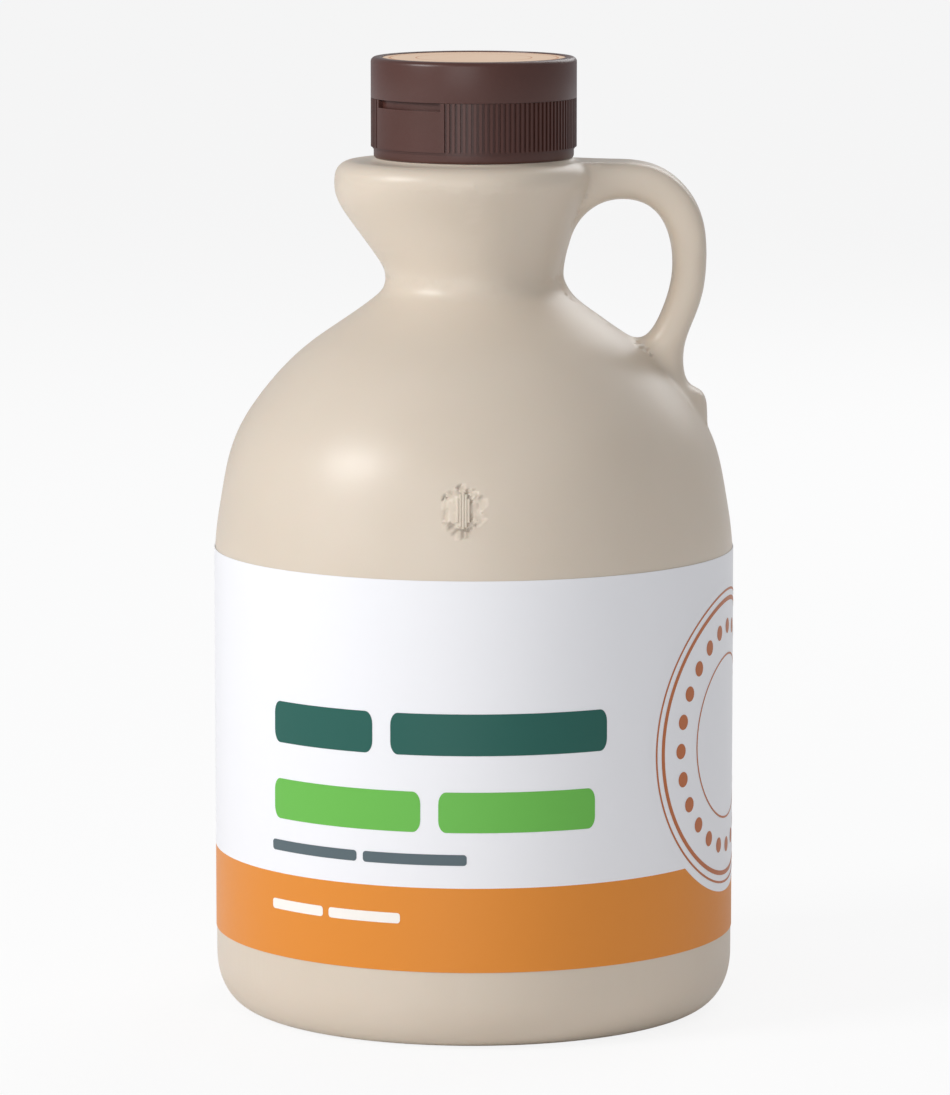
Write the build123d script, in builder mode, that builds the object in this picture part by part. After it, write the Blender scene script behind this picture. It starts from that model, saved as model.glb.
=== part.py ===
"""Maple syrup jug: a blow-moulded one-litre bottle with a loop handle, a wrap label and a tamper-evident cap.

Millimetres, +Z up. The origin is the middle of the base, on the bottle's axis, and the handle is on +X.
"""

import os
from math import cos, radians, sin, sqrt

from build123d import *

os.makedirs("parts", exist_ok=True)

# --- bottle body ---------------------------------------------------------------------------
wall_radius = 50.8  # the straight wall that the label is wrapped on
heel_inset = 6.8  # how far the heel's curve draws in to the ring that the jug stands on
heel_height = 10.0
foot_ring_width = 5.0  # flat ring round the push-up
push_up = 2.6  # hollow of the base
shoulder_z = 89.0  # the straight wall ends here
dome_height = 54.8  # from the end of the wall to the neck's narrowest ring
neck_radius = 17.2

# --- collar, the flared top of the neck -----------------------------------------------------
collar_height = 22.6  # from the neck's narrowest ring to the flat deck
collar_radius = 23.7
beak_reach = 27.4  # the collar runs out to this on the side away from the handle
collar_round = 3.2
finish_radius = 18.7  # the bare ring of the threaded finish, seen under the cap
finish_gap = 0.5  # between the deck and the tamper band

# --- loop handle ----------------------------------------------------------------------------
handle_reach = 45.4  # outermost point of the loop, from the axis
handle_width = 6.7  # across the grip, seen from the side
handle_top_depth = 13.2  # through the grip at the collar
handle_tail_depth = 7.6  # through the pad at the foot of the handle, on the shoulder
handle_round = 3.1
tail_length = 9.6  # the pad that runs from the foot down the shoulder
tail_round = 3.6  # the pad's rounded lower end

# --- shoulder badge -------------------------------------------------------------------------
badge_z = 104.0
badge_turn = -2.3  # degrees from the front, toward the handle
badge_ribs = 5
badge_pitch = 1.2
badge_width = 6.2
badge_height = 7.0
badge_rib_width = 0.6
badge_proud = 0.3
badge_root = 1.0  # how far the ribs reach into the wall
badge_lean = 13.0  # the wall leans back by this many degrees there
badge_draw = 0.045  # share of the dome's draw-in there

# --- wrap label -----------------------------------------------------------------------------
label_gap = 0.05
label_thickness = 0.15
label_bottom = 15.6
label_height = 75.2

# --- cap ------------------------------------------------------------------------------------
cap_radius = 20.05
rib_depth = 0.35
rib_pitch = 3.0  # degrees
plain_panel = (-69.0, -17.0)  # degrees from the front, toward the handle: no ribs here
band_height = 1.9
band_radius = 19.5
band_clearance = 0.15
band_round = 0.5
skirt_height = 9.8
lid_height = 7.9
lid_round = 1.2
notch_span = (-67.0, -19.0)  # degrees: the thumb notch under the lid's edge
notch_height = 1.5
notch_depth = 0.9
seal_radius = 17.9
seal_recess = 0.5
seal_thickness = 0.3
seal_clearance = 0.1

# --- worked out from the sizes above -----------------------------------------------------------
foot_radius = wall_radius - heel_inset
neck_z = shoulder_z + dome_height
deck_z = neck_z + collar_height
hollow_radius = foot_radius - foot_ring_width
band_z = deck_z + finish_gap
skirt_z = band_z + band_height
lid_z = skirt_z + skirt_height
cap_top = lid_z + lid_height

# shares of the collar's height, then of its flare at the sides and at the beak
collar_sections = (
    (0.0, 0.0, 0.0),
    (0.09, 0.035, 0.065),
    (0.23, 0.17, 0.27),
    (0.41, 0.36, 0.56),
    (0.59, 0.6, 0.84),
    (0.76, 0.88, 0.98),
    (1.0, 1.0, 1.0),
)


def dome_point(rise, inset):
    """A point of the dome's outline, from shares of its height and of its draw-in to the neck."""
    return wall_radius - inset * (wall_radius - neck_radius), shoulder_z + rise * dome_height


def around(radius, angle, z=0.0):
    """A point on a circle about the axis, its angle in degrees from the front toward the handle."""
    return radius * sin(radians(angle)), -radius * cos(radians(angle)), z


def ring_sector(inner, outer, start, end):
    """Draw and fill the sketch face between two radii, from one angle to another."""
    middle = (start + end) / 2
    with BuildLine() as border:
        outside = ThreePointArc(around(outer, start), around(outer, middle), around(outer, end))
        inside = ThreePointArc(around(inner, start), around(inner, middle), around(inner, end))
        Line(outside @ 0, inside @ 0)
        Line(outside @ 1, inside @ 1)
    make_face(border.edges())


# --- handle: a loop about its hole, its sides drawn in toward the foot ---------------------------
waist_x = handle_reach - 4.45
waist_z = neck_z - 18.4
grip_inner = handle_reach - handle_width
grip_z = neck_z + 5.2
tail_x = 45.75
tail_z = waist_z - tail_length
body_side = neck_radius / 2

with BuildPart() as handle:
    with BuildSketch(Plane.XZ) as loop:
        with BuildLine():
            top = Line((body_side, deck_z), (handle_reach - 16.0, deck_z))
            outer = Spline(
                top @ 1,
                (handle_reach - 6.8, deck_z - 2.7),
                (handle_reach - 1.4, deck_z - 9.4),
                (handle_reach, grip_z + 0.8),
                (handle_reach - 1.55, grip_z - 11.4),
                (waist_x, waist_z),
                (waist_x + 1.95, waist_z - 4.2),
                (tail_x, tail_z),
                tangents=((1, 0), (0, -1)),
            )
            tip = JernArc(outer @ 1, (0, -1), tail_round, -90)
            Polyline(tip @ 1, (neck_radius, tail_z), (body_side, neck_z), top @ 0)
        make_face()
        with BuildLine():
            Spline(
                (neck_radius + 0.25, neck_z + 0.9),
                (neck_radius + 1.1, neck_z + 5.6),
                (neck_radius + 4.0, neck_z + 11.7),
                (handle_reach - 16.2, deck_z - 7.35),
                (grip_inner - 3.6, neck_z + 13.1),
                (grip_inner, grip_z - 0.6),
                (grip_inner - 1.9, neck_z - 6.5),
                (handle_reach - 13.5, neck_z - 12.8),
                (neck_radius + 9.2, neck_z - 9.2),
                (neck_radius + 1.7, neck_z - 3.2),
                periodic=True,
            )
        make_face(mode=Mode.SUBTRACT)
    extrude(amount=handle_top_depth, both=True)
    with BuildSketch(Plane.YZ):
        Polygon(
            (handle_tail_depth / 2, tail_z - 2 * tail_round),
            (handle_top_depth / 2, deck_z + 1),
            (-handle_top_depth / 2, deck_z + 1),
            (-handle_tail_depth / 2, tail_z - 2 * tail_round),
            align=None,
        )
    extrude(amount=handle_reach + 5, mode=Mode.INTERSECT)
    rims = handle.edges().filter_by(GeomType.BSPLINE).filter_by(lambda e: abs(e.center().Y) > 1)
    fillet(rims.sort_by(SortBy.LENGTH)[-2:], handle_round)

# --- bottle: turned body, flared collar with its beak, handle and badge --------------------------
with BuildPart() as bottle:
    with BuildSketch(Plane.XZ):
        with BuildLine():
            hollow = ThreePointArc(
                (0, push_up), (hollow_radius / 2, push_up * 0.75), (hollow_radius, 0)
            )
            ring = Line(hollow @ 1, (foot_radius, 0))
            heel = EllipticalCenterArc((foot_radius, heel_height), heel_inset, heel_height, 270, arc_size=90)
            wall = Line(heel @ 1, (wall_radius, shoulder_z))
            dome = Spline(
                wall @ 1,
                dome_point(0.22, 0.04),
                dome_point(0.41, 0.112),
                dome_point(0.595, 0.293),
                dome_point(0.745, 0.53),
                dome_point(0.856, 0.786),
                dome_point(0.93, 0.948),
                (neck_radius, neck_z),
                tangents=((0, 1), (0, 1)),
            )
            Polyline(dome @ 1, (0, neck_z), hollow @ 0)
        make_face()
    revolve(axis=Axis.Z)
    for rise, side_flare, beak_flare in collar_sections:
        with BuildSketch(Plane.XY.offset(neck_z + rise * collar_height)):
            side_radius = neck_radius + side_flare * (collar_radius - neck_radius)
            beak_radius = neck_radius + beak_flare * (beak_reach - neck_radius)
            with BuildLine():
                CenterArc((0, 0), side_radius, 270, 180)
                EllipticalCenterArc((0, 0), beak_radius, side_radius, 90, arc_size=180)
            make_face()
    loft()
    deck = bottle.faces().sort_by(Axis.Z)[-1]
    fillet(deck.edges(), collar_round)
    add(handle.part)
    with BuildSketch(Plane.XY.offset(deck_z)):
        Circle(finish_radius)
    extrude(amount=finish_gap + band_height)
    wall_at_badge = dome_point((badge_z - shoulder_z) / dome_height, badge_draw)[0]
    badge_plane = Plane(
        origin=around(wall_at_badge, badge_turn, badge_z),
        x_dir=(cos(radians(badge_turn)), sin(radians(badge_turn)), 0),
        z_dir=around(cos(radians(badge_lean)), badge_turn, sin(radians(badge_lean))),
    )
    with BuildSketch(badge_plane.offset(-badge_root)):
        for rib in range(badge_ribs):
            across = (rib - (badge_ribs - 1) / 2) * badge_pitch
            length = badge_height * sqrt(1 - (2 * across / badge_width) ** 2)
            with Locations((across, 0)):
                SlotOverall(length, badge_rib_width, rotation=90)
    extrude(amount=badge_root + badge_proud)
bottle.part.label = "bottle"
export_step(bottle.part, "parts/bottle.step")

# --- label: a thin sleeve wrapped on the straight wall -------------------------------------------
label_inner = wall_radius + label_gap
with BuildPart() as label:
    with BuildSketch(Plane.XY.offset(label_bottom)):
        Circle(label_inner + label_thickness)
        Circle(label_inner, mode=Mode.SUBTRACT)
    extrude(amount=label_height)
label.part.label = "label"
export_step(label.part, "parts/label.step")

# --- tamper band: the ring left on the finish, under the cap's skirt -----------------------------
with BuildPart() as tamper_band:
    with BuildSketch(Plane.XY.offset(band_z)):
        Circle(band_radius)
        Circle(finish_radius + band_clearance, mode=Mode.SUBTRACT)
    extrude(amount=band_height)
    fillet(tamper_band.edges().group_by(Axis.Z)[0].sort_by(SortBy.LENGTH)[-1], band_round)
tamper_band.part.label = "tamper_band"
export_step(tamper_band.part, "parts/tamper_band.step")

# --- cap skirt: ribbed all round except for a plain panel ----------------------------------------
with BuildPart() as cap_skirt:
    with BuildSketch(Plane.XY.offset(skirt_z)):
        Circle(cap_radius - rib_depth)
        ring_sector(cap_radius - 2 * rib_depth, cap_radius, *plain_panel)
        rib_start = plain_panel[1] + rib_pitch
        rib_count = int((360 + plain_panel[0] - rib_start) / rib_pitch)
        for rib in range(rib_count):
            middle = rib_start + rib * rib_pitch
            ring_sector(
                cap_radius - 2 * rib_depth, cap_radius, middle - rib_pitch / 4, middle + rib_pitch / 4
            )
    extrude(amount=skirt_height)
    with BuildSketch(Plane.XY.offset(lid_z - notch_height)):
        ring_sector(cap_radius - notch_depth, cap_radius + 1, *notch_span)
    extrude(amount=notch_height, mode=Mode.SUBTRACT)
cap_skirt.part.label = "cap_skirt"
export_step(cap_skirt.part, "parts/cap_skirt.step")

# --- lid: the smooth upper part, its top recessed for the printed seal ---------------------------
with BuildPart() as lid:
    with BuildSketch(Plane.XY.offset(lid_z)):
        Circle(cap_radius)
    extrude(amount=lid_height)
    fillet(lid.edges().group_by(Axis.Z)[-1], lid_round)
    with BuildSketch(Plane.XY.offset(cap_top)):
        Circle(seal_radius + seal_clearance)
    extrude(amount=-seal_recess, mode=Mode.SUBTRACT)
lid.part.label = "lid"
export_step(lid.part, "parts/lid.step")

# --- seal: the printed disc that lies in the lid's recess ----------------------------------------
with BuildPart() as seal:
    with BuildSketch(Plane.XY.offset(cap_top - seal_recess)):
        Circle(seal_radius)
    extrude(amount=seal_thickness)
seal.part.label = "seal"
export_step(seal.part, "parts/seal.step")
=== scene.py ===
"""Looks of the maple syrup jug: its finishes, modelled pieces, studio and camera.

Metres, +Z up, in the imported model's own frame: the base stands on z = 0 and the handle is on +X.
"""

import logging
from collections.abc import Callable
from dataclasses import dataclass, field
from enum import Enum
from math import atan2, cos, degrees, hypot, pi, radians, sin
from typing import Any

import bpy
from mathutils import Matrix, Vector

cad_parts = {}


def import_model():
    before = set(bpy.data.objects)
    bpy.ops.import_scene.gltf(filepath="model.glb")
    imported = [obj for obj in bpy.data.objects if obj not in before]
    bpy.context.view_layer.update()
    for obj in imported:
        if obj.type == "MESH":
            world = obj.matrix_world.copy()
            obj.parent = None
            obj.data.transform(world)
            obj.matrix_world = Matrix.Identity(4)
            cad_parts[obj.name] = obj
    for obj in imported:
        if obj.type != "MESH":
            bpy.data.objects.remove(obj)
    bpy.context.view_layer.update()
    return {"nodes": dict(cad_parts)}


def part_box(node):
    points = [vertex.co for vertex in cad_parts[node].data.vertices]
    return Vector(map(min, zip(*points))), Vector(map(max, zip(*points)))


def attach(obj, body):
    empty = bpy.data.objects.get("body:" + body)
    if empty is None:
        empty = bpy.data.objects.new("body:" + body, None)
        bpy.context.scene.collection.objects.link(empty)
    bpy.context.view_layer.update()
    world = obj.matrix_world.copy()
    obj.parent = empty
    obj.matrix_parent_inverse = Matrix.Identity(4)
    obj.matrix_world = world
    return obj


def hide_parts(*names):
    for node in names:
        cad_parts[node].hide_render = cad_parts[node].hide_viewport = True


LOG = logging.getLogger("jug")
MM = 0.001
SAME = 1e-6  # metres: two places this near are the same


class Slot(Enum):
    """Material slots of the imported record."""

    BOTTLE = "bottle_plastic"
    LABEL = "label_film"
    CAP = "cap_plastic"
    SEAL = "seal_paper"


class Ink(Enum):
    """Colours that the label and the seal are printed in, as sRGB hex."""

    FILM = "#F0F0F3"
    ORANGE = "#E08A2C"
    DARK_GREEN = "#15594F"
    GREEN = "#68B84A"
    GREY = "#55646A"
    WHITE = "#F6F1EA"
    RUST = "#BC6A3A"


def linear(text: str) -> tuple[float, float, float, float]:
    """Turn an sRGB hex colour into linear RGBA.

    Args:
        text: a colour such as "#E08A2C".

    Returns:
        Red, green, blue and alpha for a shader socket.
    """
    parts = [int(text[i : i + 2], 16) / 255 for i in (1, 3, 5)]
    low = [p / 12.92 if p <= 0.04045 else ((p + 0.055) / 1.055) ** 2.4 for p in parts]
    return (low[0], low[1], low[2], 1.0)


def add_node(
    tree: bpy.types.NodeTree, kind: str, inputs: dict[str | int, Any] | None = None, **settings: Any
) -> bpy.types.Node:
    """Add a node with its settings, values and links.

    Args:
        tree: the node tree it goes into.
        kind: the node's type name.
        inputs: socket name or index to a value, or to the output socket that feeds it.
        settings: properties of the node itself.

    Returns:
        The new node.
    """
    made = tree.nodes.new(kind)
    for name, value in settings.items():
        setattr(made, name, value)
    for key, value in (inputs or {}).items():
        if isinstance(value, bpy.types.NodeSocket):
            tree.links.new(value, made.inputs[key])
        else:
            made.inputs[key].default_value = value
    return made


@dataclass(frozen=True)
class Moulded:
    """A moulded plastic or film: one colour, slightly mottled, with a fine grain.

    Attributes:
        name: the real finish.
        colour: sRGB hex of the body.
        mottle: sRGB hex that the colour drifts toward.
        roughness: of the skin.
        grain_mm: size of the fine relief.
        relief_mm: depth of the fine relief.
        wave_mm: size of the slow waves left by cooling.
        wave_relief_mm: depth of those waves.
        ior: index of refraction.
        subsurface: how much light goes through the wall.
    """

    name: str
    colour: str
    mottle: str
    roughness: float
    grain_mm: float = 0.5
    relief_mm: float = 0.004
    wave_mm: float = 30.0
    wave_relief_mm: float = 0.05
    ior: float = 1.5
    subsurface: float = 0.0

    def material(self) -> bpy.types.Material:
        """Build the node material.

        Returns:
            The new material.
        """
        made = bpy.data.materials.new(self.name)
        made.use_nodes = True
        tree = made.node_tree
        tree.nodes.clear()
        where = add_node(tree, "ShaderNodeTexCoord").outputs["Object"]
        fine = add_node(
            tree, "ShaderNodeTexNoise", {"Vector": where, "Scale": 1 / (self.grain_mm * MM), "Detail": 3.0}
        )
        slow = add_node(
            tree, "ShaderNodeTexNoise", {"Vector": where, "Scale": 1 / (self.wave_mm * MM), "Detail": 2.0}
        )
        tint = add_node(
            tree,
            "ShaderNodeMix",
            {0: slow.outputs["Fac"], 6: linear(self.colour), 7: linear(self.mottle)},
            data_type="RGBA",
        )
        skin = add_node(
            tree,
            "ShaderNodeMapRange",
            {0: fine.outputs["Fac"], 3: self.roughness - 0.04, 4: self.roughness + 0.04},
        )
        waves = add_node(
            tree, "ShaderNodeBump", {"Height": slow.outputs["Fac"], "Distance": self.wave_relief_mm * MM}
        )
        bump = add_node(
            tree,
            "ShaderNodeBump",
            {"Height": fine.outputs["Fac"], "Distance": self.relief_mm * MM, "Normal": waves.outputs[0]},
        )
        shader = add_node(
            tree,
            "ShaderNodeBsdfPrincipled",
            {
                "Base Color": tint.outputs[2],
                "Roughness": skin.outputs[0],
                "Normal": bump.outputs[0],
                "IOR": self.ior,
                "Subsurface Weight": self.subsurface,
                "Subsurface Scale": 2 * MM,
            },
        )
        add_node(tree, "ShaderNodeOutputMaterial", {"Surface": shader.outputs[0]})
        return made


# Blow-moulded polyethylene: a satin skin that takes soft, wide highlights over a faint mould texture.
POLYETHYLENE = Moulded(
    "blow_moulded_polyethylene", "#D9CCBC", "#D3C5B3", 0.38, 0.7, 0.012, 24.0, 0.10, 1.5, 0.05
)
# Injection-moulded polypropylene: a darker, slightly tighter satin with a brown sheen.
POLYPROPYLENE = Moulded("moulded_polypropylene", "#4A2A22", "#52302A", 0.36, 0.4, 0.01, 12.0, 0.02, 1.49)
# Uncoated printed paper: nearly matt, with a soft fibre grain.
PAPER = Moulded("printed_paper_peach", "#F3D3B4", "#EEC9A8", 0.5, 0.6, 0.006, 8.0, 0.03)
PAPER_INK = Moulded("printed_paper_rust", "#D9A078", "#D9A078", 0.5)


def film(ink: Ink) -> Moulded:
    """Printed film: flat ink under a satin laminate, so it shines evenly whatever its colour.

    Args:
        ink: the colour it is printed in.

    Returns:
        The finish.
    """
    name = "printed_film_" + ink.name.lower()
    return Moulded(name, ink.value, ink.value, 0.42, 0.9, 0.004, 40.0, 0.16, 1.46)


def deselect() -> None:
    """Leave edit mode and select nothing."""
    if bpy.context.object and bpy.context.object.mode != "OBJECT":
        bpy.ops.object.mode_set(mode="OBJECT")
    bpy.ops.object.select_all(action="DESELECT")


def clear_picks(select: str) -> None:
    """Set the kind of selection on the active mesh and select none of it, then leave edit mode.

    Args:
        select: VERT, EDGE or FACE selection mode.
    """
    bpy.ops.object.mode_set(mode="EDIT")
    bpy.ops.mesh.select_mode(type=select)
    bpy.ops.mesh.select_all(action="DESELECT")
    bpy.ops.object.mode_set(mode="OBJECT")


def pick(obj: bpy.types.Object, kind: str, test: Callable[..., bool]) -> None:
    """Select elements by their place, then enter edit mode.

    Args:
        obj: the active mesh object.
        kind: "vertices", "edges" or "polygons".
        test: takes an element's middle, and for a face its normal too, and says whether it is picked.
    """
    modes = {"vertices": "VERT", "edges": "EDGE", "polygons": "FACE"}
    clear_picks(modes[kind])
    mesh = obj.data
    for item in getattr(mesh, kind):
        if kind == "polygons":
            chosen = test(item.center, item.normal)
        elif kind == "edges":
            chosen = test((mesh.vertices[item.vertices[0]].co + mesh.vertices[item.vertices[1]].co) / 2)
        else:
            chosen = test(item.co)
        item.select = chosen
    bpy.ops.object.mode_set(mode="EDIT")


def finish_piece(
    obj: bpy.types.Object,
    name: str,
    materials: list[bpy.types.Material],
    angle: float = 35.0,
) -> None:
    """Name, place, smooth, dress and attach a finished piece.

    Args:
        obj: the mesh object.
        name: its name.
        materials: the materials for its slots, in order.
        angle: edges flatter than this, in degrees, shade smooth.
    """
    deselect()
    obj.select_set(True)
    bpy.context.view_layer.objects.active = obj
    bpy.ops.object.transform_apply(location=True, rotation=True, scale=True)
    bpy.ops.object.shade_smooth_by_angle(angle=radians(angle))
    obj.name = name
    obj.data.name = name
    for index, made in enumerate(materials):
        if index < len(obj.data.materials):
            obj.data.materials[index] = made
        else:
            obj.data.materials.append(made)
    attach(obj, "root")
    LOG.info("%s: %d faces", name, len(obj.data.polygons))


def azimuth(point: Vector) -> float:
    """Turn a place into degrees round the axis, from the front toward the handle.

    Args:
        point: the place, in metres.

    Returns:
        Its angle in degrees.
    """
    return degrees(atan2(point.x, -point.y))


def at_rim(place: Vector, height: float, radius: float) -> bool:
    """Say whether a place lies at a height and near the rim of a drum.

    Args:
        place: the place, in metres.
        height: the height that it has to be at.
        radius: the drum's radius; anything past nine tenths of it counts.

    Returns:
        True at the rim.
    """
    return abs(place.z - height) < SAME and hypot(place.x, place.y) > radius * 0.9


def drum(low: Vector, high: Vector, sides: int, radius: float, ends: str = "NGON") -> bpy.types.Object:
    """Add an upright cylinder between two heights, its place held in its mesh.

    Args:
        low: a corner at its foot.
        high: a corner at its top.
        sides: facets round it.
        radius: its radius in metres.
        ends: how its ends are filled.

    Returns:
        The cylinder, active and selected.
    """
    deselect()
    bpy.ops.mesh.primitive_cylinder_add(
        vertices=sides,
        radius=radius,
        depth=high.z - low.z,
        end_fill_type=ends,
        location=(0, 0, (low.z + high.z) / 2),
    )
    made = bpy.context.object
    bpy.ops.object.transform_apply(location=True)
    return made


@dataclass
class Bottle:
    """The blow-moulded body with its handle, as one smooth skin, and the badge on its shoulder.

    Attributes:
        voxel_mm: size of the even quads that the skin is rebuilt from.
        handle_mm: beyond this distance from the axis the grip is rounded more.
        handle_z_mm: and above this height.
        handle_fade_mm: distance over which that rounding comes in.
        handle_half_mm: and within this distance of the handle's middle plane.
        soften: rounds of smoothing over the whole skin, and over the grip.
        badge_z_mm: height of the badge's middle.
        badge_turn: degrees from the front to the badge.
        badge_lean: degrees that the wall leans back there.
        rib_pitch_mm: pitch of the badge's ribs.
        rib_mm: a rib's width and its depth through the wall.
        rib_lengths_mm: the ribs' lengths, from left to right.
        rib_roll_mm: rolling of a rib's front edges.
        rib_sink_mm: how far a rib's middle lies inside the skin.
    """

    voxel_mm: float = 0.85
    handle_mm: float = 22.0
    handle_z_mm: float = 112.0
    handle_fade_mm: float = 6.0
    handle_half_mm: float = 9.0
    soften: tuple[int, int] = (8, 40)
    badge_z_mm: float = 104.0
    badge_turn: float = -2.3
    badge_lean: float = 13.0
    rib_pitch_mm: float = 1.2
    rib_mm: tuple[float, float] = (0.55, 0.8)
    rib_lengths_mm: tuple[float, ...] = (4.6, 6.3, 7.0, 6.3, 4.6)
    rib_roll_mm: float = 0.2
    rib_sink_mm: float = 0.12

    def build(self, node: bpy.types.Object) -> None:
        """Copy the structural body, rebuild it in even quads, soften its joins and dress it.

        Args:
            node: the structural body.
        """
        deselect()
        node.select_set(True)
        bpy.context.view_layer.objects.active = node
        bpy.ops.object.duplicate()
        skin = bpy.context.object
        for key in list(skin.keys()):
            del skin[key]
        skin.parent = None
        bpy.ops.object.mode_set(mode="EDIT")
        bpy.ops.mesh.select_all(action="SELECT")
        bpy.ops.mesh.remove_doubles(threshold=0.001 * MM)
        bpy.ops.object.mode_set(mode="OBJECT")
        skin.data.remesh_voxel_size = self.voxel_mm * MM
        bpy.ops.object.voxel_remesh()
        grip = skin.vertex_groups.new(name="grip")
        for vertex in skin.data.vertices:
            out = (vertex.co.x / MM - self.handle_mm) / self.handle_fade_mm
            high = (vertex.co.z / MM - self.handle_z_mm) / self.handle_fade_mm
            weight = max(0.0, min(1.0, out, high))
            if weight > 0 and abs(vertex.co.y) < self.handle_half_mm * MM:
                grip.add([vertex.index], weight, "REPLACE")
        for rounds, group in ((self.soften[0], ""), (self.soften[1], "grip")):
            soft = skin.modifiers.new("soften", "SMOOTH")
            soft.factor = 0.5
            soft.iterations = rounds
            soft.vertex_group = group
            bpy.ops.object.modifier_apply(modifier=soft.name)
        low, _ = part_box("bottle")
        for vertex in skin.data.vertices:
            vertex.co.z = max(vertex.co.z, low.z)
        skin.data.materials.clear()
        plastic = POLYETHYLENE.material()
        finish_piece(skin, "bottle_skin", [plastic], 60.0)
        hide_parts("bottle")
        self.build_badge(skin, plastic)

    def build_badge(self, skin: bpy.types.Object, plastic: bpy.types.Material) -> None:
        """Five upright ribs in an oval, their edges rolled.

        Args:
            skin: the bottle's skin, which they stand on.
            plastic: its material.
        """
        away = Vector((sin(radians(self.badge_turn)), -cos(radians(self.badge_turn)), 0))
        outside = away * 0.2 + Vector((0, 0, self.badge_z_mm * MM))
        _, place, _, _ = skin.ray_cast(outside, -away)
        radius = hypot(place.x, place.y) - self.rib_sink_mm * MM
        width, depth = self.rib_mm
        middle = (len(self.rib_lengths_mm) - 1) / 2
        for index, length in enumerate(self.rib_lengths_mm):
            deselect()
            across = (index - middle) * self.rib_pitch_mm * MM
            bpy.ops.mesh.primitive_cube_add(size=1)
            rib = bpy.context.object
            rib.scale = (width * MM, depth * MM, length * MM)
            bpy.ops.object.transform_apply(scale=True)
            pick(rib, "edges", lambda c: c.y < SAME - depth / 2 * MM)
            bpy.ops.mesh.bevel(offset=self.rib_roll_mm * MM, segments=4, profile=0.5)
            deselect()
            # The length reaches from the middle of the base, so the ribs stand closer than their pitch.
            turn = radians(self.badge_turn) + across / place.length
            rib.rotation_euler = (radians(-self.badge_lean), 0, turn)
            rib.location = (radius * sin(turn), -radius * cos(turn), place.z)
            finish_piece(rib, f"badge_rib_{index}", [plastic], 60.0)


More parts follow.
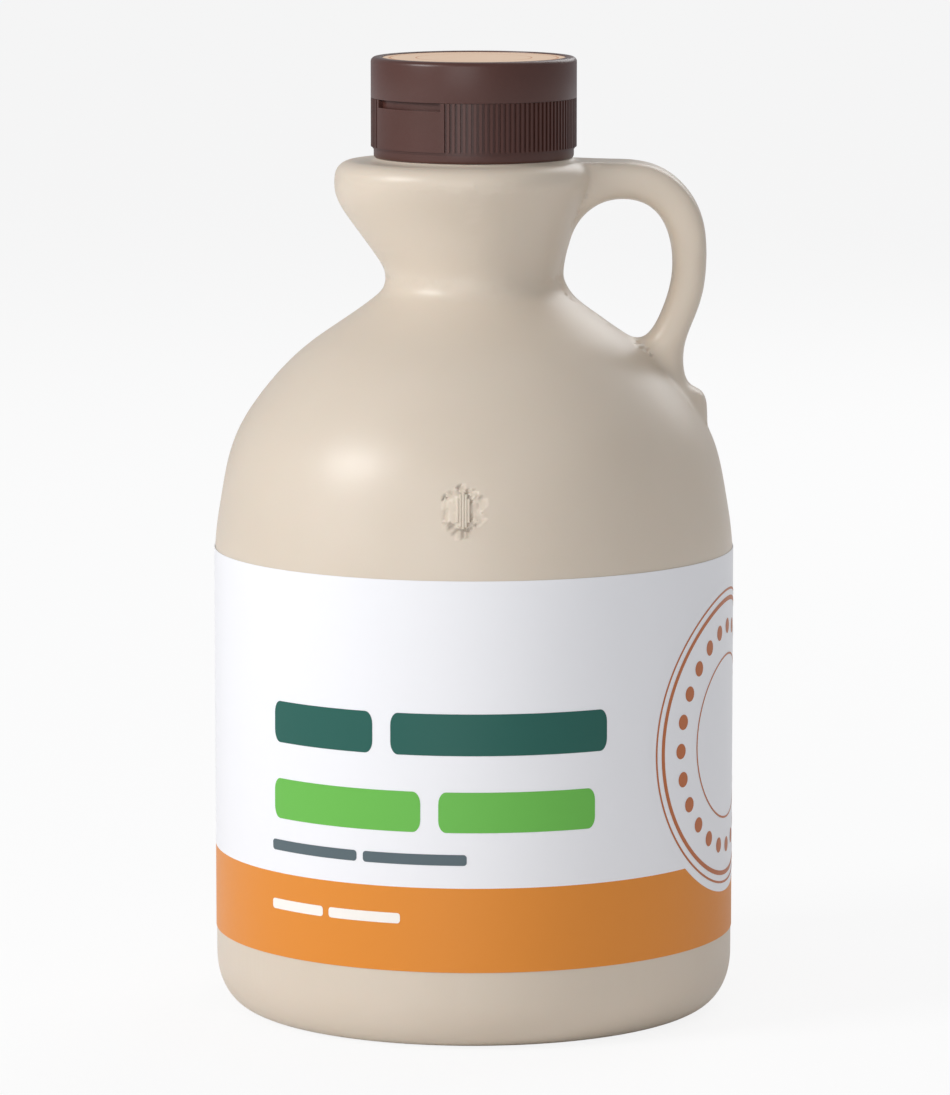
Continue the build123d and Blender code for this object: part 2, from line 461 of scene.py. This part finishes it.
@dataclass
class Cap:
    """The screw cap: tamper band, ribbed skirt with its plain panel and notch, and smooth lid.

    Attributes:
        steps: facets round the skirt; four of them make a rib and its gap.
        rib_mm: how far a rib stands out.
        panel: degrees between which the skirt is plain.
        notch: degrees between which the thumb notch runs.
        notch_mm: the notch's height and depth.
        rim_mm: width of the rim round the seal.
        lid_round_mm: rounding of the lid's top edge.
        recess_mm: depth of the recess that the seal lies in.
        foot_mm: height of the plain line under the ribs.
        band_round_mm: rounding of the band's lower edge.
        brown: the material of all the cap's pieces.
    """

    steps: int = 480
    rib_mm: float = 0.35
    panel: tuple[float, float] = (-69.0, -17.0)
    notch: tuple[float, float] = (-67.0, -19.0)
    notch_mm: tuple[float, float] = (1.5, 0.9)
    rim_mm: float = 1.3
    lid_round_mm: float = 0.9
    recess_mm: float = 0.5
    foot_mm: float = 0.35
    band_round_mm: float = 0.6
    brown: bpy.types.Material = field(init=False)

    def build(self) -> None:
        """Build the cap's pieces in order, from the bottom up."""
        self.brown = POLYPROPYLENE.material()
        self.build_band()
        self.build_skirt()
        self.build_lid()

    def build_band(self) -> None:
        """The smooth ring left on the finish."""
        low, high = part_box("tamper_band")
        band = drum(low, high, 192, high.x)
        pick(band, "edges", lambda c: at_rim(c, low.z, high.x))
        bpy.ops.mesh.bevel(offset=self.band_round_mm * MM, segments=3, profile=0.5)
        deselect()
        finish_piece(band, "cap_band", [self.brown])
        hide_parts("tamper_band")

    def build_skirt(self) -> None:
        """The ribbed skirt, its ribs pushed out of a plain drum and its notch cut in."""
        low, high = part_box("cap_skirt")
        root = high.x - self.rib_mm * MM
        notch_foot = high.z - self.notch_mm[0] * MM
        rib_foot = low.z + self.foot_mm * MM
        skirt = drum(low, high, self.steps, root)
        bpy.ops.object.mode_set(mode="EDIT")
        for level in (notch_foot, rib_foot):
            bpy.ops.mesh.select_all(action="SELECT")
            bpy.ops.mesh.bisect(plane_co=(0, 0, level), plane_no=(0, 0, 1))
        step = 360 / self.steps

        def on_rib(center: Vector, normal: Vector) -> bool:
            """Pick the wall where a rib or the plain panel stands."""
            angle = azimuth(center)
            if abs(normal.z) > 0.5 or center.z < rib_foot:
                return False
            if self.panel[0] < angle < self.panel[1]:
                return True
            return int((angle % 360) / step) % 4 < 2

        bpy.ops.object.mode_set(mode="OBJECT")
        pick(skirt, "polygons", on_rib)
        bpy.ops.mesh.extrude_region_shrink_fatten(
            TRANSFORM_OT_shrink_fatten={"value": self.rib_mm * MM, "use_even_offset": True}
        )
        bpy.ops.object.mode_set(mode="OBJECT")

        def in_notch(center: Vector, normal: Vector) -> bool:
            """Pick the panel's wall where the notch runs."""
            return (
                abs(normal.z) < 0.5
                and center.z > notch_foot
                and self.notch[0] < azimuth(center) < self.notch[1]
                and hypot(center.x, center.y) > root + 0.2 * MM
            )

        pick(skirt, "polygons", in_notch)
        bpy.ops.mesh.extrude_region_shrink_fatten(
            TRANSFORM_OT_shrink_fatten={"value": -self.notch_mm[1] * MM, "use_even_offset": True}
        )
        deselect()
        finish_piece(skirt, "cap_skirt_ribbed", [self.brown], 30.0)
        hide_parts("cap_skirt")

    def build_lid(self) -> None:
        """The smooth lid: rounded edge, thin rim and a shallow recess for the seal."""
        low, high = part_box("lid")
        lid = drum(low, high, 256, high.x)
        inset = (self.rim_mm + self.lid_round_mm) * MM
        pick(lid, "polygons", lambda c, n: n.z > 0.9)
        bpy.ops.mesh.inset(thickness=inset)
        bpy.ops.mesh.extrude_region_move(TRANSFORM_OT_translate={"value": (0, 0, -self.recess_mm * MM)})

        def on_outer_edge(place: Vector, height: float) -> bool:
            """Pick the drum's own edge at a height, and nothing of the recess."""
            return abs(place.z - height) < SAME and hypot(place.x, place.y) > high.x * 0.98

        def on_recess_edge(place: Vector) -> bool:
            """Pick the upper edge of the recess."""
            off = hypot(place.x, place.y) - high.x + inset
            return abs(place.z - high.z) < SAME and abs(off) < 0.1 * MM

        for chosen, offset, segments in (
            (lambda c: on_outer_edge(c, high.z), self.lid_round_mm, 5),
            (on_recess_edge, 0.15, 2),
            (lambda c: on_outer_edge(c, low.z), 0.18, 2),
        ):
            pick(lid, "edges", chosen)
            bpy.ops.mesh.bevel(offset=offset * MM, segments=segments, profile=0.5)
        deselect()
        finish_piece(lid, "cap_lid", [self.brown])
        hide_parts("lid")


@dataclass
class Seal:
    """The printed disc in the lid's recess.

    Attributes:
        rings: printed rings, as outer radius and width in millimetres.
    """

    rings: tuple[tuple[float, float], ...] = ((16.6, 0.5), (11.4, 0.35))

    def build(self) -> None:
        """A thin flat disc and its printed rings."""
        low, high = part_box("seal")
        disc = drum(low, high, 192, high.x)
        previous = high.x
        for outer, width in self.rings:
            for radius in (outer * MM, (outer - width) * MM):
                pick(disc, "polygons", lambda c, n: n.z > 0.9 and hypot(c.x, c.y) < MM)
                bpy.ops.mesh.inset(thickness=previous - radius)
                previous = radius
        deselect()
        for face in disc.data.polygons:
            radius = max(hypot(*disc.data.vertices[v].co.xy) for v in face.vertices) / MM
            on_ring = any(abs(radius - outer) < 0.05 for outer, _ in self.rings)
            face.material_index = int(on_ring and face.normal.z > 0.9)
        finish_piece(disc, "seal_disc", [PAPER.material(), PAPER_INK.material()])
        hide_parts("seal")


@dataclass
class Label:
    """The wrap label and what is printed on it.

    Attributes:
        band_mm: height of the orange band at the foot.
        bars: printed bars, as start and end degrees, bottom and top in mm above the base, and ink.
        mark_angle: degrees from the front to the middle of the round mark.
        mark_z_mm: its height above the base.
        mark_radius_mm: its radius.
        mark_margin_mm: width of the white margin round it.
        beads: how many beads it has, and a bead's radius in mm.
        film_mm: thickness of the film.
        back_mm: how far the film lies inside the label's outer face.
        radius: the label's outer radius in metres, read from the frame.
    """

    band_mm: float = 16.3
    bars: tuple[tuple[float, float, float, float, Ink], ...] = (
        (-48.4, -22.2, 57.4, 65.4, Ink.DARK_GREEN),
        (-18.1, 29.8, 57.4, 65.4, Ink.DARK_GREEN),
        (-48.5, -11.5, 42.6, 50.4, Ink.GREEN),
        (-7.6, 26.9, 42.6, 50.4, Ink.GREEN),
        (-49.2, -26.0, 36.3, 38.4, Ink.GREY),
        (-24.5, -1.5, 36.3, 38.4, Ink.GREY),
        (-49.3, -34.5, 24.8, 26.8, Ink.WHITE),
        (-33.0, -16.0, 24.8, 26.8, Ink.WHITE),
    )
    mark_angle: float = 75.7
    mark_z_mm: float = 55.0
    mark_radius_mm: float = 29.0
    mark_margin_mm: float = 1.6
    beads: tuple[int, float] = (24, 1.5)
    film_mm: float = 0.12
    back_mm: float = 0.08
    radius: float = field(init=False)

    def build(self) -> None:
        """Build the sleeve and then each layer of print on it."""
        low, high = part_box("label")
        self.radius = high.x
        self.build_sleeve(low, high)
        inks = {ink: film(ink).material() for ink in Ink}
        for index, (start, end, bottom, top, ink) in enumerate(self.bars):
            self.build_bar(index, start, end, bottom, top, inks[ink])
        self.build_mark(inks)

    def wrap(self, obj: bpy.types.Object, angle: float, height: float, lift_mm: float) -> None:
        """Bend a flat drawing, in X and Y about its middle, round the label.

        Args:
            obj: the flat mesh, in metres.
            angle: degrees from the front to where its middle goes.
            height: its middle's height in metres.
            lift_mm: how far it lies inside the label's outer face.
        """
        radius = self.radius - lift_mm * MM
        for vertex in obj.data.vertices:
            turn = radians(angle) + vertex.co.x / self.radius
            vertex.co = Vector((radius * sin(turn), -radius * cos(turn), height + vertex.co.y))

    def build_sleeve(self, low: Vector, high: Vector) -> None:
        """The white film sleeve with its orange band.

        Args:
            low: the label's lowest corner.
            high: its highest corner.
        """
        sleeve = drum(low, high, 360, high.x - self.back_mm * MM, "NOTHING")
        edge = low.z + self.band_mm * MM
        bpy.ops.object.mode_set(mode="EDIT")
        bpy.ops.mesh.select_all(action="SELECT")
        bpy.ops.mesh.bisect(plane_co=(0, 0, edge), plane_no=(0, 0, 1))
        deselect()
        for face in sleeve.data.polygons:
            face.material_index = int(face.center.z < edge)
        sleeve.data.materials.append(film(Ink.FILM).material())
        sleeve.data.materials.append(film(Ink.ORANGE).material())
        wall = sleeve.modifiers.new("film", "SOLIDIFY")
        wall.thickness = self.film_mm * MM
        wall.offset = -1
        bpy.ops.object.select_all(action="DESELECT")
        sleeve.select_set(True)
        bpy.ops.object.modifier_apply(modifier=wall.name)
        finish_piece(sleeve, "label_sleeve", list(sleeve.data.materials))
        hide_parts("label")

    def build_bar(
        self, index: int, start: float, end: float, bottom: float, top: float, ink: bpy.types.Material
    ) -> None:
        """One rounded bar that stands in a word's place.

        Args:
            index: its number, for its name.
            start: degrees where it begins.
            end: degrees where it ends.
            bottom: its lower edge in mm.
            top: its upper edge in mm.
            ink: its material.
        """
        width = radians(end - start) * self.radius
        tall = (top - bottom) * MM
        deselect()
        columns = max(6, int(width / (1.5 * MM)))
        bpy.ops.mesh.primitive_grid_add(x_subdivisions=columns, y_subdivisions=2, size=1)
        bar = bpy.context.object
        bar.scale = (width, tall, 1)
        bpy.ops.object.transform_apply(scale=True)
        pick(bar, "vertices", lambda c: abs(c.x) > width / 2 - SAME and abs(c.y) > tall / 2 - SAME)
        bpy.ops.mesh.bevel(offset=tall * 0.3, segments=6, affect="VERTICES", profile=0.5)
        deselect()
        self.wrap(bar, (start + end) / 2, (bottom + top) / 2 * MM, 0.03)
        finish_piece(bar, f"label_bar_{index}", [ink])

    def build_ring(self, name: str, outer: float, width: float, lift: float, ink: bpy.types.Material) -> None:
        """A flat printed ring, wrapped round the label.

        Args:
            name: the piece's name.
            outer: its outer radius in mm.
            width: its width in mm; the outer radius gives a whole disc.
            lift: how far it lies inside the label's outer face, in mm.
            ink: its material.
        """
        deselect()
        bpy.ops.mesh.primitive_circle_add(vertices=144, radius=outer * MM, fill_type="NGON")
        ring = bpy.context.object
        bpy.ops.object.mode_set(mode="EDIT")
        bpy.ops.mesh.select_all(action="SELECT")
        steps = max(1, int(width / 1.5))
        for _ in range(steps):
            bpy.ops.mesh.inset(thickness=min(width, outer - 0.2) * MM / steps)
        if width < outer:
            bpy.ops.mesh.delete(type="FACE")
        deselect()
        self.wrap(ring, self.mark_angle, self.mark_z_mm * MM, lift)
        finish_piece(ring, name, [ink])

    def build_mark(self, inks: dict[Ink, bpy.types.Material]) -> None:
        """The round mark on the label's side: a white disc, rings, and a ring of plain beads.

        Args:
            inks: material by ink.
        """
        outer = self.mark_radius_mm
        disc = outer + self.mark_margin_mm
        self.build_ring("mark_disc", disc, disc, 0.06, inks[Ink.FILM])
        self.build_ring("mark_ring_outer", outer, 0.45, 0.03, inks[Ink.RUST])
        self.build_ring("mark_ring_middle", outer - 1.6, 0.9, 0.03, inks[Ink.RUST])
        self.build_ring("mark_ring_inner", outer * 0.56, 0.4, 0.03, inks[Ink.RUST])
        middle = outer * 0.745
        count, radius = self.beads
        for index in range(count):
            turn = 2 * pi * index / count
            deselect()
            bpy.ops.mesh.primitive_circle_add(vertices=24, radius=radius * MM, fill_type="TRIFAN")
            bead = bpy.context.object
            bead.location = (middle * MM * cos(turn), middle * MM * sin(turn), 0)
            bpy.ops.object.transform_apply(location=True)
            self.wrap(bead, self.mark_angle, self.mark_z_mm * MM, 0.03)
            finish_piece(bead, f"mark_bead_{index}", [inks[Ink.RUST]])


@dataclass
class Studio:
    """Floor, world, lamps and camera.

    Attributes:
        camera_place: where the camera stands, in metres.
        pitch: degrees that it looks down.
        lens: focal length in mm, for a sensor of that width.
        sensor: sensor width in mm.
        shift_x: sideways shift of the lens, as a share of the frame.
    """

    camera_place: tuple[float, float, float] = (0.0, -1.22508, 0.26146)
    pitch: float = 7.96
    lens: float = 207.04
    sensor: float = 36.0
    shift_x: float = 0.0011

    def build(self) -> None:
        """Make the whole studio."""
        self.build_floor()
        self.build_world()
        self.add_lamp("key", (-1.05, -0.55, 0.75), 0.45, 9.5)
        self.add_lamp("fill", (-0.35, -1.5, 0.35), 0.9, 4.5)
        self.add_lamp("back", (0.5, 0.9, 0.8), 0.8, 5.0)
        self.build_camera()

    def build_floor(self) -> None:
        """A pale floor that keeps a soft shadow and runs into the white background."""
        deselect()
        bpy.ops.mesh.primitive_plane_add(size=8)
        floor = bpy.context.object
        floor.name = "floor"
        made = bpy.data.materials.new("pale_paper_floor")
        made.use_nodes = True
        tree = made.node_tree
        tree.nodes.clear()
        paper = add_node(tree, "ShaderNodeBsdfDiffuse", {"Color": linear("#F4F4F4")})
        white = add_node(tree, "ShaderNodeEmission", {"Color": (1, 1, 1, 1), "Strength": 1.0})
        path = add_node(tree, "ShaderNodeLightPath")
        share = add_node(
            tree, "ShaderNodeMath", {0: path.outputs["Is Camera Ray"], 1: 0.86}, operation="MULTIPLY"
        )
        both = add_node(
            tree, "ShaderNodeMixShader", {0: share.outputs[0], 1: paper.outputs[0], 2: white.outputs[0]}
        )
        add_node(tree, "ShaderNodeOutputMaterial", {"Surface": both.outputs[0]})
        floor.data.materials.append(made)

    def build_world(self) -> None:
        """White behind the jug, and a plain grey-white light from all round."""
        world = bpy.data.worlds.new("studio")
        bpy.context.scene.world = world
        world.use_nodes = True
        tree = world.node_tree
        tree.nodes.clear()
        path = add_node(tree, "ShaderNodeLightPath")
        seen = add_node(
            tree,
            "ShaderNodeMath",
            {0: path.outputs["Is Camera Ray"], 1: path.outputs["Is Transmission Ray"]},
            operation="MAXIMUM",
        )
        around = add_node(tree, "ShaderNodeBackground", {"Color": (0.96, 0.97, 1.0, 1), "Strength": 0.42})
        white = add_node(tree, "ShaderNodeBackground", {"Color": (1, 1, 1, 1), "Strength": 1.0})
        both = add_node(
            tree, "ShaderNodeMixShader", {0: seen.outputs[0], 1: around.outputs[0], 2: white.outputs[0]}
        )
        add_node(tree, "ShaderNodeOutputWorld", {"Surface": both.outputs[0]})

    def add_lamp(self, name: str, place: tuple[float, float, float], size: float, power: float) -> None:
        """A square soft lamp aimed at the jug's middle.

        Args:
            name: the lamp's name.
            place: where it hangs, in metres.
            size: its side in metres.
            power: in watts.
        """
        deselect()
        bpy.ops.object.light_add(type="AREA", location=place)
        lamp = bpy.context.object
        lamp.name = "lamp_" + name
        lamp.data.energy = power
        lamp.data.size = size
        aim = Vector((0, 0, 0.1)) - Vector(place)
        lamp.rotation_euler = aim.to_track_quat("-Z", "Y").to_euler()

    def build_camera(self) -> None:
        """The camera, level with the cap and looking slightly down."""
        deselect()
        bpy.ops.object.camera_add(location=self.camera_place, rotation=(radians(90 - self.pitch), 0, 0))
        camera = bpy.context.object
        camera.data.sensor_width = self.sensor
        camera.data.lens = self.lens
        camera.data.shift_x = self.shift_x
        camera.data.clip_start = 0.05
        bpy.context.scene.camera = camera


def main(frame: dict[str, Any]) -> None:
    """Build every piece of the jug and the studio round it.
    """
    logging.basicConfig(level=logging.INFO, format="%(name)s %(message)s")
    bpy.context.scene.view_settings.view_transform = "Standard"
    Bottle().build(frame["nodes"]["bottle"])
    Cap().build()
    Seal().build()
    Label().build()
    Studio().build()


if __name__ == "__main__":
    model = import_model()
    main(model)
